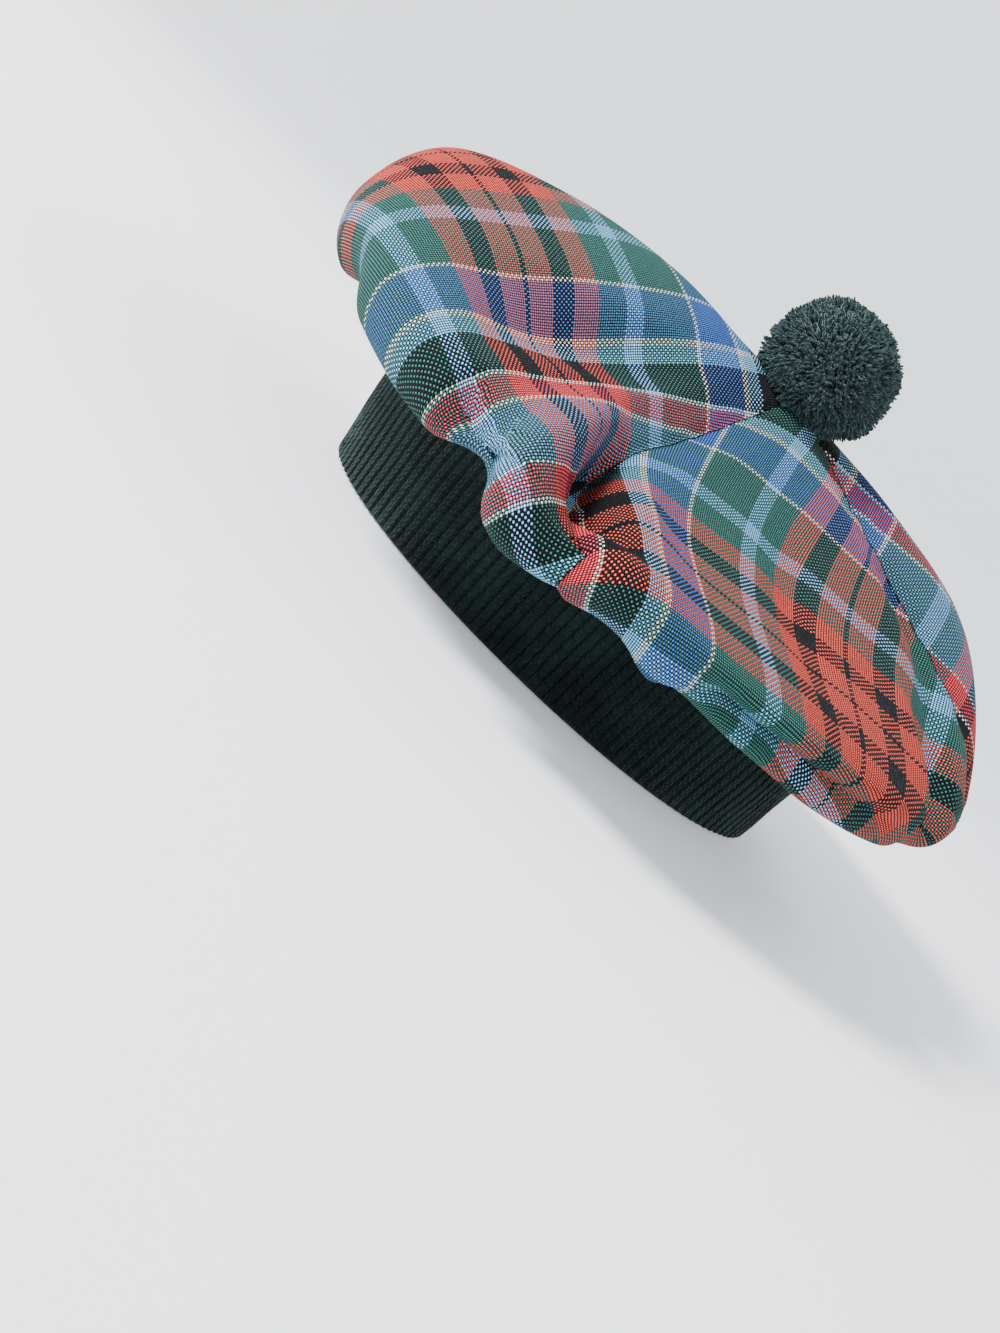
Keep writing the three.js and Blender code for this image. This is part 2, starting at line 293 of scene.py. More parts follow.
def new_tree(name, sizes):
    """A geometry node tree with named number inputs, each (name, value, kind). The start is the
    piece's own mesh."""
    tree = bpy.data.node_groups.new(name, "GeometryNodeTree")
    tree.interface.new_socket("Mesh", in_out="INPUT", socket_type="NodeSocketGeometry")
    tree.interface.new_socket("Mesh", in_out="OUTPUT", socket_type="NodeSocketGeometry")
    for size_name, value, kind in sizes:
        tree.interface.new_socket(size_name, in_out="INPUT", socket_type=f"NodeSocket{kind}")
    return tree, tree.nodes.new("NodeGroupInput"), tree.nodes.new("NodeGroupOutput")


def finish_tree(tree, group_out, instances, material, kept=None):
    """The tree's end: real geometry with its material, and the kept mesh beside it."""
    whole = add_node(tree, "GeometryNodeRealizeInstances", {"Geometry": instances}).outputs[0]
    if kept is not None:
        joined = add_node(tree, "GeometryNodeJoinGeometry")
        tree.links.new(kept, joined.inputs[0])
        tree.links.new(whole, joined.inputs[0])
        whole = joined.outputs[0]
    painted = add_node(tree, "GeometryNodeSetMaterial", {"Geometry": whole, "Material": material})
    shaded = add_node(tree, "GeometryNodeSetShadeSmooth", {0: painted.outputs[0]})
    tree.links.new(shaded.outputs[0], group_out.inputs[0])


def grow(obj, tree, sizes):
    """Runs the tree on the piece and keeps its result as the piece's plain mesh."""
    modifier = obj.modifiers.new(tree.name, "NODES")
    modifier.node_group = tree
    wanted = {size_name: value for size_name, value, kind in sizes}
    for socket in tree.interface.items_tree:
        if socket.in_out == "INPUT" and socket.name in wanted:
            modifier[socket.identifier] = wanted[socket.name]
    graph = bpy.context.evaluated_depsgraph_get()
    mesh = bpy.data.meshes.new_from_object(obj.evaluated_get(graph), depsgraph=graph)
    obj.modifiers.clear()
    obj.data = mesh


def bent_yarn(tree, start, middle, end, radius, sides, steps):
    """A short round length of yarn with closed ends, bent from start to end."""
    line = add_node(
        tree, "GeometryNodeCurveQuadraticBezier",
        {"Resolution": steps, "Start": start, "Middle": middle, "End": end},
    ).outputs[0]
    ring = add_node(
        tree, "GeometryNodeCurvePrimitiveCircle", {"Resolution": sides, "Radius": radius}
    ).outputs[0]
    return add_node(
        tree, "GeometryNodeCurveToMesh", {"Curve": line, "Profile Curve": ring, "Fill Caps": True}
    ).outputs[0]


def scaled_vector(tree, size_sockets, shares):
    """A vector whose parts are shares of three sizes."""
    parts = {}
    for index, (size, share) in enumerate(zip(size_sockets, shares)):
        product = add_node(tree, "ShaderNodeMath", {0: size, 1: share}, operation="MULTIPLY")
        parts[index] = product.outputs[0]
    return add_node(tree, "ShaderNodeCombineXYZ", parts).outputs[0]


stitch_sizes = [
    ("Stitch width", stitch_width / 1000, "Float"),
    ("Stitch height", band_height / stitch_rows / 1000, "Float"),
    ("Yarn radius", yarn_thickness / 2000, "Float"),
    ("Seed", 3, "Int"),
]
stitch_tree, stitch_in, stitch_out = new_tree("rib_stitches", stitch_sizes)
leg_sizes = [stitch_in.outputs[name] for name in ("Stitch width", "Yarn radius", "Stitch height")]
stitch = add_node(stitch_tree, "GeometryNodeJoinGeometry")
for side in (-1, 1):
    leg = bent_yarn(
        stitch_tree,
        scaled_vector(stitch_tree, leg_sizes, (0.1 * side, -0.9, -0.62)),
        scaled_vector(stitch_tree, leg_sizes, (0.34 * side, 0.9, 0.0)),
        scaled_vector(stitch_tree, leg_sizes, (0.36 * side, -0.9, 0.58)),
        stitch_in.outputs["Yarn radius"], 4, 3,
    )
    stitch_tree.links.new(leg, stitch.inputs[0])
outward = add_node(stitch_tree, "GeometryNodeInputNormal").outputs[0]
facing = add_node(
    stitch_tree, "FunctionNodeAlignRotationToVector", {"Vector": outward}, axis="Y", pivot_axis="Z"
).outputs[0]
leaning = add_node(
    stitch_tree, "FunctionNodeAlignRotationToVector", {"Rotation": facing, "Vector": outward}, axis="Y"
).outputs[0]
sway = add_node(
    stitch_tree, "FunctionNodeRandomValue",
    {0: (-0.09, -0.09, -0.12), 1: (0.09, 0.09, 0.12), "Seed": stitch_in.outputs["Seed"]},
    data_type="FLOAT_VECTOR",
).outputs[0]
swayed = add_node(
    stitch_tree, "FunctionNodeRotateRotation", {"Rotation": leaning, "Rotate By": sway},
    rotation_space="LOCAL",
).outputs[0]
stitches = add_node(
    stitch_tree, "GeometryNodeInstanceOnPoints",
    {"Points": stitch_in.outputs["Mesh"], "Instance": stitch.outputs[0], "Rotation": swayed},
).outputs[0]
finish_tree(stitch_tree, stitch_out, stitches, knit_material)

stitch_azimuths = np.arange(rib_count) * 360 / rib_count
stitch_rings = []
for row in range(stitch_rows):
    height = stitch_foot + (band_height - stitch_foot) * (row + 0.5) / stitch_rows
    slack = band_slack(stitch_azimuths, height)
    stitch_rings.append(on_band(stitch_azimuths, height, yarn_thickness / 2 - slack))
stitch_faces = []
for row in range(stitch_rows - 1):
    for column in range(rib_count):
        beside = (column + 1) % rib_count
        stitch_faces.append((
            row * rib_count + column,
            row * rib_count + beside,
            (row + 1) * rib_count + beside,
            (row + 1) * rib_count + column,
        ))
band_ribs = link_mesh("headband_ribs", np.concatenate(stitch_rings), stitch_faces)
grow(band_ribs, stitch_tree, stitch_sizes)

for piece in (band, band_ribs):
    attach(piece, "root")
    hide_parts("headband")


# The crown: four gores of plain woven tartan wool, seamed from the middle to the headband, slack
# enough to stand out all round and fall over the headband, and gathered into it underneath. The
# fabric is a traditional kind of check whose stripes run slantwise across each gore.

crown_radius = 147.0
crown_rise = 64.0
cloth_thickness = 1.2
apex_hole = 3.0
apex_shift = 6.0
seam_valley = 4.0
seam_valley_width = 14.0
seam_dip = 1.3
seam_dip_width = 2.4
pucker_depth = 0.35
pucker_width = 11
gather_depth = 1.5
gathers_per_gore = 5
seam_gap = 0.3
rim_place = 3
last_place = 8
swing_end = 5.6
valley_place = 5.5
valley_span = 2.4
gather_place = 0.9
tuck_share = 0.3
keel_share = 0.94
high_share = 0.66
mid_share = 0.38
crest_share = 0.15
tuck_keel_share = 0.4
tuck_rise_share = 0.07
shift_reach = 0.9

# azimuth, reach, keel, rim, brow reach, brow, high, mid, crest
outline_rows = np.array([
    [-90, 1.0, -0.07, 0.26, 0.93, 0.69, 0.94, 1.04, 1.03],
    [-60, 0.99, -0.08, 0.17, 0.91, 0.45, 0.69, 0.88, 0.97],
    [-30, 1.0, -0.2, 0.0, 0.92, 0.18, 0.38, 0.64, 0.88],
    [0, 1.01, -0.24, -0.09, 0.93, 0.05, 0.22, 0.5, 0.83],
    [30, 1.0, -0.25, -0.09, 0.93, 0.06, 0.26, 0.54, 0.85],
    [60, 0.97, -0.2, -0.05, 0.92, 0.19, 0.43, 0.68, 0.9],
    [90, 0.95, -0.06, 0.13, 0.84, 0.56, 0.8, 0.92, 0.97],
    [120, 0.96, -0.06, 0.13, 0.84, 0.46, 0.74, 0.9, 0.98],
    [150, 1.0, -0.14, 0.05, 0.88, 0.26, 0.52, 0.76, 0.94],
    [180, 1.01, -0.18, 0.01, 0.9, 0.18, 0.4, 0.68, 0.92],
    [210, 1.0, -0.15, 0.1, 0.92, 0.36, 0.62, 0.86, 0.98],
    [240, 1.0, -0.09, 0.22, 0.93, 0.61, 0.86, 1.01, 1.03],
])

# azimuth, swing
seam_rows = [(-14, 11), (76, 0), (166, 4), (256, 0)]

# azimuth, lean, half width, depth, low, high
fold_rows = [
    (-20, -4, 6.5, 0.075, 1.2, 4.6),
    (-6, -9, 7.5, 0.08, 1.4, 5.4),
    (-17, -8, 8, -0.03, 3.2, 5.6),
    (4, 0, 6.5, 0.04, 1.0, 3.4),
    (31, 0, 30, 0.045, 2.3, 3.6),
    (61, 4, 7.5, 0.08, 1.8, 5.4),
    (-38, 6, 14, 0.04, 4.0, 6.6),
    (-54, 0, 9, 0.03, 1.0, 3.4),
    (98, -3, 8, 0.06, 1.4, 4.6),
    (128, 4, 9, 0.07, 1.2, 4.8),
    (156, 0, 8, 0.05, 1.2, 4.2),
    (178, -5, 9, 0.08, 1.4, 5.2),
    (203, 3, 8.5, 0.05, 1.2, 4.4),
    (228, 0, 11, 0.06, 1.6, 5.0),
    (252, 4, 8.5, 0.04, 1.2, 4.0),
]

# Creases and rolls too fine for the folds: depth (a roll's is negative), half width to the left and
# to the right of the way, and the way as azimuths and places. Depth and half widths are in mm.
crease_rows = [
    (8.0, 4.5, 4.5, [(-14.0, 5.0), (-12.2, 4.75), (-10.0, 4.5), (-6.4, 4.33), (-2.6, 4.1), (1.5, 3.95)]),
    (9.0, 4.5, 4.5, [(-14.4, 5.15), (-13.3, 4.9), (-12.2, 4.7), (-11, 4.5)]),
    (-3.0, 10.0, 10.0, [(-10, 5.0), (-6, 4.75), (-1, 4.55), (4, 4.4)]),
    (-6.5, 14.0, 14.0, [(-15, 2.5), (-11, 2.35), (-7, 2.25), (-2, 2.2), (4, 2.25), (9, 2.3)]),
    (-3.0, 8.0, 8.0, [(-18.5, 5.1), (-15.5, 4.7), (-13, 4.3), (-11, 3.8)]),
    (-2.5, 7.0, 7.0, [(-23.5, 4.2), (-20.5, 3.6), (-18, 3.0), (-16.5, 2.5)]),
    (5.0, 7.0, 7.0, [(72, 5.6), (70, 4.9), (67, 4.2), (65, 3.4)]),
    (-3.0, 9.0, 9.0, [(63, 5.2), (60, 4.5), (57, 3.8)]),
    (2.5, 9.0, 9.0, [(-44, 6.3), (-41, 5.4), (-36, 4.6), (-30, 4.0)]),
    (2.0, 8.0, 8.0, [(22, 6.2), (27, 5.3), (31, 4.4)]),
    (2.5, 10.0, 10.0, [(112, 5.8), (116, 4.8), (118, 3.8)]),
    (3.0, 9.0, 9.0, [(150, 5.6), (147, 4.8), (143, 3.9)]),
    (2.5, 10.0, 10.0, [(190, 6.0), (186, 5.0), (183, 4.0)]),
    (3.0, 9.0, 9.0, [(222, 5.7), (218, 4.8), (216, 3.9)]),
    (6.0, 2.5, 11.0, [
        (-24.6, 3.7), (-22.4, 3.72), (-20.3, 3.63), (-18.3, 3.35), (-17.2, 2.9), (-16.7, 2.4),
    ]),
    (4.5, 2.5, 9.0, [
        (12, 2.2), (14.6, 2.4), (16.1, 2.69), (18.6, 2.94), (22.1, 3.1), (26.3, 2.83), (30.1, 2.58),
    ]),
]


def smooth_between(before, start, end, after, share):
    """A smooth curve through evenly spaced values, between the second and the third of four."""
    slope = end - before
    bend = 2 * before - 5 * start + 4 * end - after
    twist = 3 * start - before - 3 * end + after
    return start + 0.5 * share * (slope + share * (bend + share * twist))


def smooth_bump(value):
    """A smooth rise and fall from -1 to 1, with 1 in its middle."""
    return np.where(np.abs(value) < 1, (1 - value**2) ** 2, 0.0)


def wrap_degrees(angle):
    """The same direction as an angle from -180 to 180 degrees."""
    return angle - 360 * np.round(angle / 360)


def outline_at(azimuth):
    """Every column of the outline at an azimuth, smoothed round the crown."""
    count = len(outline_rows)
    place = np.mod((azimuth - outline_rows[0, 0]) / 360, 1) * count
    index = np.floor(place).astype(int)
    values = [outline_rows[(index + step) % count, 1:] for step in (-1, 0, 1, 2)]
    return np.moveaxis(smooth_between(*values, (place - index)[..., None]), -1, 0)


def outline_point(azimuth, place):
    """Radius and height above the headband's top at a place on the outline, before any fold."""
    azimuth, place = np.broadcast_arrays(np.asarray(azimuth, float), np.asarray(place, float))
    reach, keel, rim, brow_reach, brow, high, mid, crest = outline_at(azimuth)
    reach = reach * crown_radius
    joint = band_radius(azimuth, band_height) - band_wall / 2
    tuck = joint + tuck_share * (reach - joint)
    radii = [joint, joint, tuck, keel_share * reach, reach, brow_reach * reach, high_share * reach,
             mid_share * reach, crest_share * reach, apex_hole + 0 * reach, -crest_share * reach]
    heights = [seam_gap / crown_rise - tuck_rise_share + 0 * keel, seam_gap / crown_rise + 0 * keel,
               tuck_keel_share * keel + tuck_rise_share, keel, rim, brow, high, mid, crest,
               1 + 0 * keel, crest]
    index = np.clip(np.floor(place), 0, last_place - 1).astype(int)
    result = []
    for knots in (np.stack(radii), np.stack(heights) * crown_rise):
        around = [np.take_along_axis(knots, (index + step)[None], axis=0)[0] for step in range(4)]
        result.append(smooth_between(*around, place - index))
    return result


def seam_azimuth(index, place):
    """The azimuth of a seam at a place; below the edge it swings to one side."""
    azimuth, swing = seam_rows[index % len(seam_rows)]
    share = np.clip((swing_end - place) / (swing_end - rim_place), 0, 1)
    return azimuth + swing * share**2 * (3 - 2 * share) + 360 * (index // len(seam_rows))


def inward_push(azimuth, place, radius):
    """How far the folds, the seams and the gathers push the fabric inwards, in mm."""
    push = 0.0
    for fold_azimuth, lean, half_width, depth, low, high in fold_rows:
        along = (place - low) / (high - low)
        across = wrap_degrees(azimuth - fold_azimuth - lean * (along - 0.5)) / half_width
        push = push + depth * crown_radius * smooth_bump(across) * smooth_bump(2 * along - 1)
    valley = seam_valley * smooth_bump((place - valley_place) / valley_span)
    for index in range(len(seam_rows)):
        distance = wrap_degrees(azimuth - seam_azimuth(index, place)) * np.pi / 180 * radius
        push = push + valley * smooth_bump(distance / seam_valley_width)
        pucker = pucker_depth * np.sin(uneven(place * 22, 0 * place, 30, index) * 5 + place * 11)
        push = push + pucker * smooth_bump(distance / pucker_width)
        push = push + seam_dip * np.exp(-((distance / seam_dip_width) ** 2))
    gather_turn = (azimuth - seam_rows[0][0]) / 360 * gathers_per_gore * len(seam_rows)
    gather = gather_depth * smooth_bump((place - gather_place) / gather_place)
    push = push + gather * np.cos(2 * np.pi * gather_turn)
    return push


def crown_point(azimuth, place):
    """The outer surface of the crown, in mm round the middle of the rim."""
    step = 0.01
    radius, height = outline_point(azimuth, place)
    radius_before, height_before = outline_point(azimuth, np.maximum(0, place - step))
    radius_after, height_after = outline_point(azimuth, np.minimum(last_place, place + step))
    along_radius = radius_after - radius_before
    along_height = height_after - height_before
    push = inward_push(azimuth, place, radius) / np.hypot(along_radius, along_height)
    folded = radius - push * along_height
    raised = height + push * along_radius
    shift = apex_shift * (1 - np.minimum(1, folded / (shift_reach * crown_radius))) ** 2
    angle = np.radians(azimuth)
    return np.stack([folded * np.cos(angle), folded * np.sin(angle) + shift, band_height + raised], axis=-1)


def surface_normals(points):
    """The outward direction at each point of a grid."""
    across = np.gradient(points, axis=1)
    along = np.gradient(points, axis=0)
    normal = np.cross(along, across)
    return normal / np.maximum(np.linalg.norm(normal, axis=-1, keepdims=True), 1e-9)


def outline_normals(azimuth, place):
    """The outward directions of the crown before any fold."""
    step = 0.05

    def at(angle, spot):
        """A point of the unfolded outline."""
        radius, height = outline_point(angle, np.clip(spot, 0, last_place))
        angle = np.radians(angle)
        return np.stack([radius * np.cos(angle), radius * np.sin(angle), height], axis=-1)

    around = at(azimuth + 1, place) - at(azimuth - 1, place)
    upward = at(azimuth, place + step) - at(azimuth, place - step)
    normal = np.cross(around, upward)
    return normal / np.maximum(np.linalg.norm(normal, axis=-1, keepdims=True), 1e-9)


def crease(points, normals):
    """The grid of points with every crease pressed in and every roll raised."""
    pressed = np.zeros(points.shape[:2])
    for depth, left_width, right_width, way in crease_rows:
        share = np.linspace(0, 1, 60)
        stops = np.linspace(0, 1, len(way))
        azimuth = np.interp(share, stops, [stop[0] for stop in way])
        place = np.interp(share, stops, [stop[1] for stop in way])
        line = crown_point(azimuth, place)
        leftward = np.cross(outline_normals(azimuth, place), np.gradient(line, axis=0))
        fade = np.sin(np.pi * np.clip(0.08 + 0.92 * share, 0, 1)) ** 0.7
        offset = points[:, :, None] - line
        half_width = np.where(np.sum(offset * leftward, axis=-1) > 0, left_width, right_width)
        reach = np.linalg.norm(offset, axis=-1) / half_width
        pressed += depth * np.max(fade * np.exp(-(reach**2)), axis=-1)
    return points - pressed[..., None] * normals


def flatten_cloth(gore, rim_row, rounds):
    """Flat places in mm for a grid of points of one gore, with the fabric's own lengths kept as
    nearly as they can be. Row 0 is at the apex. The gore starts as a fan and is then evened out as
    far as the rim's row; below it, where the fabric is gathered, the fan runs straight on."""
    points = gore[:rim_row + 1]
    along = np.linalg.norm(np.diff(points, axis=0), axis=-1)
    length = np.concatenate([np.zeros((1, points.shape[1])), np.cumsum(along, axis=0)]) + apex_hole
    across = np.linalg.norm(np.diff(points, axis=1), axis=-1)
    width = np.concatenate([np.zeros((points.shape[0], 1)), np.cumsum(across, axis=1)], axis=1)
    angle = width / length
    flat = np.stack([length * np.cos(angle), length * np.sin(angle)], axis=-1)
    rows, columns = length.shape
    steps = [(1, 0), (0, 1), (1, 1), (1, -1), (2, 0), (0, 2)]
    for _ in range(rounds):
        moved = np.zeros_like(flat)
        weight = np.zeros((rows, columns, 1))
        for down, right in steps:
            first = (slice(0, rows - down), slice(max(0, -right), columns - max(0, right)))
            second = (slice(down, rows), slice(max(0, right), columns + min(0, right)))
            wanted = np.linalg.norm(points[second] - points[first], axis=-1, keepdims=True)
            gap = flat[second] - flat[first]
            present = np.linalg.norm(gap, axis=-1, keepdims=True)
            change = 0.5 * (1 - wanted / np.maximum(present, 1e-6)) * gap
            moved[first] += change
            moved[second] -= change
            weight[first] += 1
            weight[second] += 1
        flat = flat + 1.2 * moved / weight
    heading = flat[-1] / np.linalg.norm(flat[-1], axis=-1, keepdims=True)
    under = np.cumsum(np.linalg.norm(np.diff(gore[rim_row:], axis=0), axis=-1), axis=0)
    return np.concatenate([flat, flat[-1] + under[..., None] * heading])


def finer(values, row_factor, column_factor):
    """A grid of values made finer along both directions by smooth curves."""
    for axis, factor in enumerate((row_factor, column_factor)):
        values = np.moveaxis(values, axis, 0)
        count = values.shape[0]
        place = np.arange((count - 1) * factor + 1) / factor
        index = np.minimum(np.floor(place).astype(int), count - 2)
        share = (place - index).reshape(-1, *[1] * (values.ndim - 1))
        first = 2 * values[0] - values[1]
        last = 2 * values[-1] - values[-2]
        padded = np.concatenate([first[None], values, last[None]])
        around = [padded[index + step] for step in range(4)]
        values = np.moveaxis(smooth_between(*around, share), 0, axis)
    return values


# The check, from the thin black line in the middle of the red to the middle of the broad blue:
# each stripe's colour and width in mm
black_yarn = colour(6, 8, 14)
red_yarn = colour(228, 78, 62)
crimson_yarn = colour(230, 54, 84)
green_yarn = colour(46, 102, 94)
sky_yarn = colour(124, 190, 246)
blue_yarn = colour(58, 104, 182)
steel_yarn = colour(100, 140, 186)
cream_yarn = colour(255, 252, 242)
stripe_rows = [
    (black_yarn, 0.7), (red_yarn, 9.0), (black_yarn, 7.0), (red_yarn, 9.0), (green_yarn, 9.0),
    (sky_yarn, 6.8), (green_yarn, 19.7), (cream_yarn, 1.9), (blue_yarn, 16.1), (cream_yarn, 1.8),
    (sky_yarn, 6.1), (black_yarn, 13.0), (cream_yarn, 1.4), (crimson_yarn, 7.0), (cream_yarn, 1.4),
    (steel_yarn, 11.0),
]
half_check = sum(width for stripe, width in stripe_rows)
check_scale = 1.12
yarn_pitch = 0.8
# How bright the tops of the yarn crossings are painted: a painted highlight, up to this many times the
# yarn's colour
painted_highlight_gain = 1.9

tartan_material, tartan_tree, tartan_shader = new_material(
    "tartan_wool_cloth", Roughness=0.9, Specular_IOR_Level=0.1, Sheen_Weight=0.02, Sheen_Roughness=0.5,
    Sheen_Tint=(0.85, 0.88, 0.92, 1.0),
)


def math_node(tree, operation, first, second=0.0):
    """The result of one sum on two sockets or numbers."""
    return add_node(tree, "ShaderNodeMath", {0: first, 1: second}, operation=operation).outputs[0]


def yarn_colours(tree, place):
    """The colour of the yarn at a place across the stripes, the same over each yarn's width."""
    yarn = math_node(tree, "ADD", math_node(tree, "SNAP", place, yarn_pitch), yarn_pitch / 2)
    folded = math_node(tree, "PINGPONG", yarn, half_check)
    share = math_node(tree, "DIVIDE", folded, half_check)
    ramp = add_node(tree, "ShaderNodeValToRGB", {"Fac": share})
    ramp.color_ramp.interpolation = "CONSTANT"
    edge = 0.0
    stops = ramp.color_ramp.elements
    for index, (stripe, width) in enumerate(stripe_rows):
        stop = stops[0] if index == 0 else stops.new(edge / half_check)
        stop.position = edge / half_check
        stop.color = stripe
        edge += width
    stops.remove(stops[len(stripe_rows)])
    return ramp.outputs["Color"]


cloth_place = add_node(tartan_tree, "ShaderNodeUVMap", uv_map="cloth").outputs[0]
cloth_parts = add_node(tartan_tree, "ShaderNodeSeparateXYZ", {0: cloth_place})
warp_place = cloth_parts.outputs["X"]
weft_place = cloth_parts.outputs["Y"]
weave = add_node(
    tartan_tree, "ShaderNodeTexChecker", {"Vector": cloth_place, "Scale": 1 / yarn_pitch}
).outputs["Fac"]
warp_yarns = yarn_colours(tartan_tree, warp_place)
weft_yarns = yarn_colours(tartan_tree, weft_place)
woven = mix_colours(tartan_tree, weave, warp_yarns, weft_yarns)
cloth_fibres = add_node(
    tartan_tree, "ShaderNodeTexNoise",
    {"Vector": cloth_place, "Scale": 3.2, "Detail": 3.0, "Roughness": 0.7},
).outputs["Fac"]
fibre_light = add_node(
    tartan_tree, "ShaderNodeMapRange",
    {"Value": cloth_fibres, "From Min": 0.35, "From Max": 0.8, "To Max": 0.03},
).outputs[0]
brushed = mix_colours(tartan_tree, fibre_light, woven, colour(150, 156, 160))
# Painted light and shade on the weave: the yarn colour is scaled by the square of the yarn height. The gaps
# between yarns get painted shade, near black, and the tops of the crossings get a painted highlight up to
# 1.9 times as bright. The result is capped below white.
warp_turn = math_node(tartan_tree, "MULTIPLY", warp_place, math.pi / yarn_pitch)
weft_turn = math_node(tartan_tree, "MULTIPLY", weft_place, math.pi / yarn_pitch)
warp_wave = math_node(tartan_tree, "SINE", warp_turn)
weft_wave = math_node(tartan_tree, "SINE", weft_turn)
yarn_height = math_node(tartan_tree, "ABSOLUTE", math_node(tartan_tree, "MULTIPLY", warp_wave, weft_wave))
painted_light_share = math_node(tartan_tree, "MULTIPLY", yarn_height, yarn_height)
painted_light_and_shade = math_node(tartan_tree, "MULTIPLY", painted_light_share, painted_highlight_gain)
painted_lit_yarn = add_node(
    tartan_tree, "ShaderNodeVectorMath", {0: brushed, "Scale": painted_light_and_shade}, operation="SCALE"
).outputs[0]
shaded = add_node(
    tartan_tree, "ShaderNodeVectorMath", {0: painted_lit_yarn, 1: (0.93, 0.92, 0.9)}, operation="MINIMUM"
).outputs[0]
tartan_tree.links.new(shaded, tartan_shader.inputs["Base Color"])
weave_height = math_node(tartan_tree, "MULTIPLY_ADD", cloth_fibres, 0.5)
tartan_tree.links.new(yarn_height, weave_height.node.inputs[2])
tartan_bump = add_node(
    tartan_tree, "ShaderNodeBump", {"Height": weave_height, "Strength": 1.0, "Distance": 0.0003}
)
tartan_tree.links.new(tartan_bump.outputs["Normal"], tartan_shader.inputs["Normal"])

# Each gore's stripes: the angle from its marked seam to the stripes that run outwards, in degrees,
# which side that seam is on (0 start, 1 end), and the place of the apex in the check
gore_rows = [
    ("crown_rear_left", 29.6, 0, 48.2),
    ("crown_rear_right", 32.0, 0, 94.5),
    ("crown_front_right", 30.0, 1, 48.2),
    ("crown_front_left", 24.3, 1, 94.5),
]
apex_stripe = 92.9

# How far each gore's cut and folds draw the check along at the crown's edge, in mm: outwards and
# then towards the marked seam, each at the gore's start, in its middle and at its end. The reach is
# the share of the way down from the apex at which the full drag is there.
apex_drag_outward = -14
apex_drag_seamward = -2
plain_drag = ((-14, -14, -14), (-6, -6, -6))
drag_rows = {
    "crown_rear_left": ((-22, -16, -8), (-8, -20, -6)),
    "crown_front_left": ((0, -6, -16), (-8, -12, -12)),
}
drag_reach = 0.45
gore_step = 3
gore_fine_rows = 50 * gore_step
gore_fine_columns = 48 * gore_step
gore_rim_row = 31
flatten_rounds = 600
seam_near = 30
seam_far = 90


def gore_grid(index):
    """The azimuths and places of a gore's grid of points, row 0 at the apex."""
    place = last_place * (1 - np.linspace(0, 1, gore_fine_rows + 1))[:, None]
    share = np.linspace(0, 1, gore_fine_columns + 1)[None, :]
    start = seam_azimuth(index, place)
    end = seam_azimuth(index + 1, place)
    wide = start + (end - start) * share
    radius, height = outline_point(wide, place + 0 * share)
    margin = np.degrees(seam_gap / 2 / radius)
    azimuth = np.clip(wide, start + margin, end - margin)
    return azimuth, place + 0 * share


for index, (gore_name, slant, marked_side, apex_place) in enumerate(gore_rows):
    azimuth, place = gore_grid(index)
    outer = crease(crown_point(azimuth, place), outline_normals(azimuth, place))
    coarse_flat = flatten_cloth(outer[::gore_step, ::gore_step], gore_rim_row, flatten_rounds)
    flat = finer(coarse_flat, gore_step, gore_step)
    edge_outward, edge_seamward = drag_rows.get(gore_name, plain_drag)
    way_down = np.clip(np.linspace(0, 1, flat.shape[0]) / drag_reach, 0, 1)[:, None]
    way_down = way_down * way_down * (3 - 2 * way_down)
    across = np.linspace(0, 1, flat.shape[1])
    edge_outward = np.interp(across, (0, 0.5, 1), edge_outward)
    edge_seamward = np.interp(across, (0, 0.5, 1), edge_seamward)
    drag_outward = apex_drag_outward + (edge_outward - apex_drag_outward) * way_down
    drag_seamward = apex_drag_seamward + (edge_seamward - apex_drag_seamward) * way_down
    seam_line = flat[:, -1 if marked_side else 0]
    far = np.linalg.norm(seam_line, axis=-1)
    seam_aim = seam_line[(far > seam_near) & (far < seam_far)].mean(axis=0)
    seam_angle = math.atan2(seam_aim[1], seam_aim[0])
    inward = -1 if marked_side else 1
    outward_angle = seam_angle + inward * math.radians(slant)
    outward_aim = np.array([math.cos(outward_angle), math.sin(outward_angle)])
    seamward_aim = -inward * np.array([-math.sin(outward_angle), math.cos(outward_angle)])
    warp = apex_stripe - flat @ outward_aim / check_scale - drag_outward
    weft = apex_place + flat @ seamward_aim / check_scale + drag_seamward
    places_in_cloth = np.stack([warp, weft], axis=-1).reshape(-1, 2)

    rows, columns = outer.shape[:2]
    inner = outer - cloth_thickness * surface_normals(outer)
    points = np.concatenate([outer.reshape(-1, 3), inner.reshape(-1, 3)])
    grid = np.arange(rows * columns).reshape(rows, columns)
    below = grid + rows * columns
    quads = []
    first, second, third, fourth = grid[:-1, :-1], grid[1:, :-1], grid[1:, 1:], grid[:-1, 1:]
    quads.append(np.stack([first, second, third, fourth], axis=-1).reshape(-1, 4))
    first, second, third, fourth = below[:-1, :-1], below[:-1, 1:], below[1:, 1:], below[1:, :-1]
    quads.append(np.stack([first, second, third, fourth], axis=-1).reshape(-1, 4))
    for edge, flipped in ((grid[:, 0], True), (grid[:, -1], False), (grid[0], False), (grid[-1], True)):
        side = edge + rows * columns
        ring = [edge[:-1], side[:-1], side[1:], edge[1:]]
        quads.append(np.stack(ring[::-1] if flipped else ring, axis=-1))
    faces = np.concatenate(quads)

    gore = link_mesh(gore_name + "_cloth", points / 1000 + np.array(rim_middle), faces.tolist())
    cloth_map = gore.data.uv_layers.new(name="cloth")
    corner_places = np.concatenate([places_in_cloth, places_in_cloth])[faces.reshape(-1)]
    cloth_map.data.foreach_set("uv", corner_places.astype(np.float32).reshape(-1))
    gore.data.materials.append(tartan_material)
    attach(gore, "root")
    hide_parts(gore_name)


# The toorie: a pompom of cut bottle green wool yarn, wound, bound in the middle, clipped round and
# tied through the middle of the crown, with uneven ends.

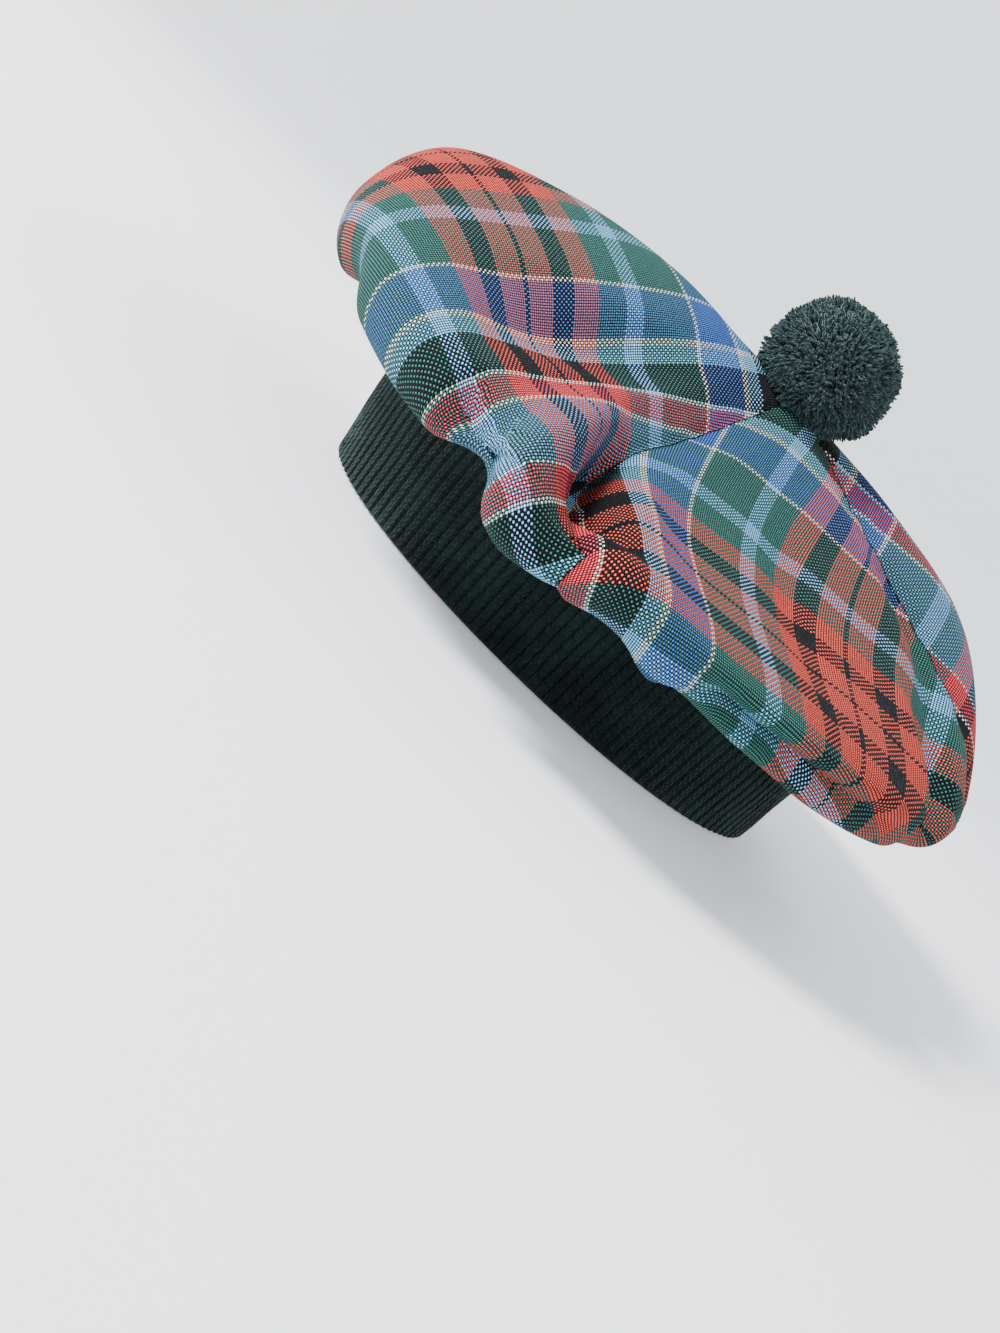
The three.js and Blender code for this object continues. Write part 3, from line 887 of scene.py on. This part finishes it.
toorie_radius = 23.0
toorie_sink = 9.5
strand_count = 8800
strand_length = 10.5
strand_show = 8.0
strand_radius = 0.36
toorie_middle = np.array([0.0, apex_shift, band_height + crown_rise + toorie_radius - toorie_sink])

toorie_core_rings = 24
toorie_core_sides = 40
core_radius = toorie_radius - strand_show
core_points = []
core_faces = []
for ring in range(toorie_core_rings + 1):
    polar = math.pi * ring / toorie_core_rings
    for side in range(toorie_core_sides):
        angle = 2 * math.pi * side / toorie_core_sides
        level = math.sin(polar)
        aim = np.array([level * math.cos(angle), level * math.sin(angle), math.cos(polar)])
        core_points.append((toorie_middle + core_radius * aim) / 1000 + np.array(rim_middle))
        if ring < toorie_core_rings:
            beside = (side + 1) % toorie_core_sides
            core_faces.append((
                ring * toorie_core_sides + side,
                (ring + 1) * toorie_core_sides + side,
                (ring + 1) * toorie_core_sides + beside,
                ring * toorie_core_sides + beside,
            ))
toorie = link_mesh("toorie_yarn", core_points, core_faces)

core_area = 4 * math.pi * (core_radius / 1000) ** 2
toorie_sizes = [
    ("Strands per square metre", strand_count / core_area, "Float"),
    ("Strand length", strand_length / 1000, "Float"),
    ("Strand radius", strand_radius / 1000, "Float"),
    ("Seed", 11, "Int"),
]
toorie_wool, toorie_wool_tree, toorie_wool_shader = new_material(
    "toorie_wool_yarn", Roughness=0.9, Specular_IOR_Level=0.2, Sheen_Weight=0.3, Sheen_Roughness=0.5,
    Sheen_Tint=(0.6, 0.78, 0.8, 1.0),
)
toorie_place = add_node(toorie_wool_tree, "ShaderNodeTexCoord").outputs["Object"]
toorie_mottle = add_node(
    toorie_wool_tree, "ShaderNodeTexNoise", {"Vector": toorie_place, "Scale": 500.0, "Detail": 3.0}
).outputs["Fac"]
toorie_tone = mix_colours(toorie_wool_tree, toorie_mottle, colour(12, 31, 31), colour(37, 61, 62))
toorie_wool_tree.links.new(toorie_tone, toorie_wool_shader.inputs["Base Color"])
toorie_tree, toorie_in, toorie_out = new_tree("toorie_strands", toorie_sizes)
toorie_start = add_node(
    toorie_tree, "GeometryNodeDistributePointsOnFaces",
    {"Mesh": toorie_in.outputs["Mesh"], "Density": toorie_in.outputs["Strands per square metre"],
     "Seed": toorie_in.outputs["Seed"]},
)
strand_size = [toorie_in.outputs["Strand length"]] * 3
strand = bent_yarn(
    toorie_tree,
    scaled_vector(toorie_tree, strand_size, (0.0, 0.0, -0.3)),
    scaled_vector(toorie_tree, strand_size, (0.12, 0.0, 0.4)),
    scaled_vector(toorie_tree, strand_size, (0.0, 0.05, 0.8)),
    toorie_in.outputs["Strand radius"], 3, 3,
)
strand_sway = add_node(
    toorie_tree, "FunctionNodeRandomValue",
    {0: (-0.2, -0.2, -3.1), 1: (0.2, 0.2, 3.1), "Seed": toorie_in.outputs["Seed"]},
    data_type="FLOAT_VECTOR",
).outputs[0]
strand_place = add_node(toorie_tree, "GeometryNodeInputPosition").outputs[0]
tuft_noise = add_node(
    toorie_tree, "ShaderNodeTexNoise", {"Vector": strand_place, "Scale": 150.0, "Detail": 1.0}
).outputs["Color"]
tuft_lean = add_node(
    toorie_tree, "ShaderNodeVectorMath", {0: tuft_noise, 1: (1.6, 1.6, 0.0), 2: (-0.8, -0.8, 0.0)},
    operation="MULTIPLY_ADD",
).outputs[0]
strand_leaning = add_node(
    toorie_tree, "FunctionNodeRotateRotation",
    {"Rotation": toorie_start.outputs["Rotation"], "Rotate By": tuft_lean}, rotation_space="LOCAL",
).outputs[0]
strand_turn = add_node(
    toorie_tree, "FunctionNodeRotateRotation",
    {"Rotation": strand_leaning, "Rotate By": strand_sway}, rotation_space="LOCAL",
).outputs[0]
strand_scale = add_node(
    toorie_tree, "FunctionNodeRandomValue",
    {0: (0.8, 0.8, 0.82), 1: (1.2, 1.2, 1.0), "Seed": toorie_in.outputs["Seed"]},
    data_type="FLOAT_VECTOR",
).outputs[0]
tuft_reach = add_node(
    toorie_tree, "ShaderNodeVectorMath", {0: tuft_noise, 1: (0.0, 0.0, 0.75), 2: (1.0, 1.0, 0.7)},
    operation="MULTIPLY_ADD",
).outputs[0]
strand_reach = add_node(
    toorie_tree, "ShaderNodeVectorMath", {0: strand_scale, 1: tuft_reach}, operation="MULTIPLY"
).outputs[0]
strands = add_node(
    toorie_tree, "GeometryNodeInstanceOnPoints",
    {"Points": toorie_start.outputs["Points"], "Instance": strand, "Rotation": strand_turn,
     "Scale": strand_reach},
).outputs[0]
finish_tree(toorie_tree, toorie_out, strands, toorie_wool, kept=toorie_in.outputs["Mesh"])
grow(toorie, toorie_tree, toorie_sizes)
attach(toorie, "root")
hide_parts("toorie")
